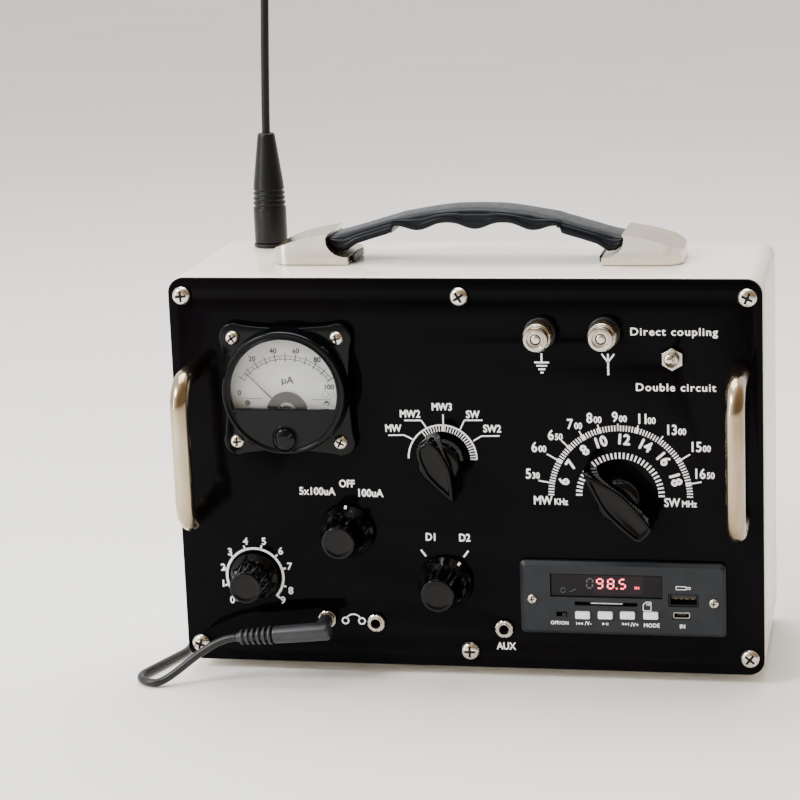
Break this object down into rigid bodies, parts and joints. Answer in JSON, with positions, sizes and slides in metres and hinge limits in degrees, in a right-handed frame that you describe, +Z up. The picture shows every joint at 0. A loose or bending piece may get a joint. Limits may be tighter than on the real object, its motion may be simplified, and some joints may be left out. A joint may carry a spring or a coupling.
{
  "type": "portable radio receiver",
  "caption": "Crystal-detector radio receiver in a sheet-steel case, with a moving-coil meter, pointer dials, a player module, pull handles, a carry handle and a whip antenna.",
  "frame": {"origin": "middle of the object's footprint on the plane of its feet, the footprint being that of the receiver with its pull handles and without the loose lead", "axes": "+X to the operator's right, +Y from the front panel to the back, +Z up along the antenna"},
  "size_m": [0.2787, 0.1866, 0.555],
  "materials": {
    "cream_paint": "satin enamel on sheet steel",
    "black_gloss": "mirror gloss with white printed legends",
    "black_bakelite": "moulded phenolic, gloss",
    "black_satin": "satin",
    "black_rubber": "matt",
    "grip_rubber": "ribbed soft grip",
    "chrome": "bright plated",
    "nickel": "bright nickel plated",
    "steel": "zinc plated",
    "aluminium": "mill finish",
    "clear": "clear window",
    "dial_white": "matt printed scale",
    "module_grey": "fine texture",
    "display_dark": "tinted filter",
    "button_white": "satin",
    "board_green": "solder mask",
    "winding": "enamelled copper wire on a former"
  },
  "bodies": {
    "root": {"case_shell": "cream_paint", "rear_cover": "cream_paint", "front_panel": "black_gloss", "panel_screw_1": "nickel", "panel_screw_2": "nickel", "panel_screw_3": "nickel", "panel_screw_4": "nickel", "panel_screw_5": "nickel", "panel_screw_6": "nickel", "foot_1": "black_rubber", "foot_2": "black_rubber", "foot_3": "black_rubber", "foot_4": "black_rubber", "left_pull_handle": "chrome", "right_pull_handle": "chrome", "carry_grip": "grip_rubber", "carry_handle_end_left": "chrome", "carry_handle_end_right": "chrome", "antenna_socket": "nickel", "antenna_base": "black_rubber", "antenna_whip": "black_rubber", "meter_housing": "black_bakelite", "meter_window": "clear", "meter_scale_plate": "dial_white", "band_switch": "steel", "range_switch": "steel", "detector_switch": "steel", "volume_pot": "steel", "tuning_capacitor": "aluminium", "toggle_switch": "nickel", "ground_post_base": "black_satin", "antenna_post_base": "black_satin", "phones_jack_left": "nickel", "phones_jack_right": "nickel", "aux_jack": "nickel", "module_faceplate": "module_grey", "module_display": "display_dark", "module_board": "board_green", "coil_former": "winding", "loudspeaker": "steel", "phones_plug": "black_rubber", "phones_lead": "black_rubber", "phones_lead_coil": "black_rubber", "far_plug": "black_rubber"},
    "tuning_drive": {"tuning_knob": "black_bakelite", "tuning_rotor": "aluminium"},
    "band_dial": {"band_knob": "black_bakelite"},
    "range_dial": {"range_knob": "black_bakelite"},
    "detector_dial": {"detector_knob": "black_bakelite"},
    "volume_dial": {"volume_knob": "black_bakelite"},
    "toggle": {"toggle_lever": "nickel"},
    "needle": {"meter_movement": "black_satin"},
    "zero_screw": {"meter_zero_screw": "black_bakelite"},
    "ground_cap": {"ground_post_cap": "chrome"},
    "antenna_cap": {"antenna_post_cap": "chrome"},
    "button_1": {"module_button_1": "button_white"},
    "button_2": {"module_button_2": "button_white"},
    "button_3": {"module_button_3": "button_white"},
    "button_4": {"module_button_4": "button_white"},
    "power_slider": {"module_slide_switch": "black_satin"}
  },
  "joints": [
    {"name": "tuning_turn", "type": "hinge", "parent": "root", "child": "tuning_drive", "pos_m": [0.0681, -0.0256, 0.0844], "axis": [0, 1, 0], "range_deg": [-45, 133]},
    {"name": "band_turn", "type": "hinge", "parent": "root", "child": "band_dial", "pos_m": [-0.0096, -0.0256, 0.0997], "axis": [0, 1, 0], "range_deg": [-30, 90]},
    {"name": "range_turn", "type": "hinge", "parent": "root", "child": "range_dial", "pos_m": [-0.0535, -0.0256, 0.0662], "axis": [0, 1, 0], "range_deg": [-30, 30]},
    {"name": "detector_turn", "type": "hinge", "parent": "root", "child": "detector_dial", "pos_m": [-0.0102, -0.0256, 0.0434], "axis": [0, 1, 0], "range_deg": [0, 30]},
    {"name": "volume_turn", "type": "hinge", "parent": "root", "child": "volume_dial", "pos_m": [-0.097, -0.0256, 0.0439], "axis": [0, 1, 0], "range_deg": [-150, 120]},
    {"name": "toggle_flip", "type": "hinge", "parent": "root", "child": "toggle", "pos_m": [0.0916, -0.0266, 0.1456], "axis": [1, 0, 0], "range_deg": [0, 24]},
    {"name": "needle_swing", "type": "hinge", "parent": "root", "child": "needle", "pos_m": [-0.077, -0.0256, 0.1214], "axis": [0, 1, 0], "range_deg": [0, 90]},
    {"name": "zero_adjust", "type": "hinge", "parent": "root", "child": "zero_screw", "pos_m": [-0.077, -0.0386, 0.1106], "axis": [0, 1, 0], "range_deg": [-40, 40]},
    {"name": "ground_cap_turn", "type": "hinge", "parent": "root", "child": "ground_cap", "pos_m": [0.0349, -0.0346, 0.1564], "axis": [0, 1, 0], "range_deg": [-1080, 0]},
    {"name": "antenna_cap_turn", "type": "hinge", "parent": "root", "child": "antenna_cap", "pos_m": [0.0627, -0.0346, 0.1568], "axis": [0, 1, 0], "range_deg": [-1080, 0]},
    {"name": "button_1_press", "type": "slide", "parent": "root", "child": "button_1", "axis": [0, 1, 0], "range_m": [0, 0.0005], "stiffness_N_per_m": 800},
    {"name": "button_2_press", "type": "slide", "parent": "root", "child": "button_2", "axis": [0, 1, 0], "range_m": [0, 0.0005], "stiffness_N_per_m": 800},
    {"name": "button_3_press", "type": "slide", "parent": "root", "child": "button_3", "axis": [0, 1, 0], "range_m": [0, 0.0005], "stiffness_N_per_m": 800},
    {"name": "button_4_press", "type": "slide", "parent": "root", "child": "button_4", "axis": [0, 1, 0], "range_m": [0, 0.0005], "stiffness_N_per_m": 800},
    {"name": "power_slide", "type": "slide", "parent": "root", "child": "power_slider", "axis": [1, 0, 0], "range_m": [-0.0024, 0]}
  ]
}
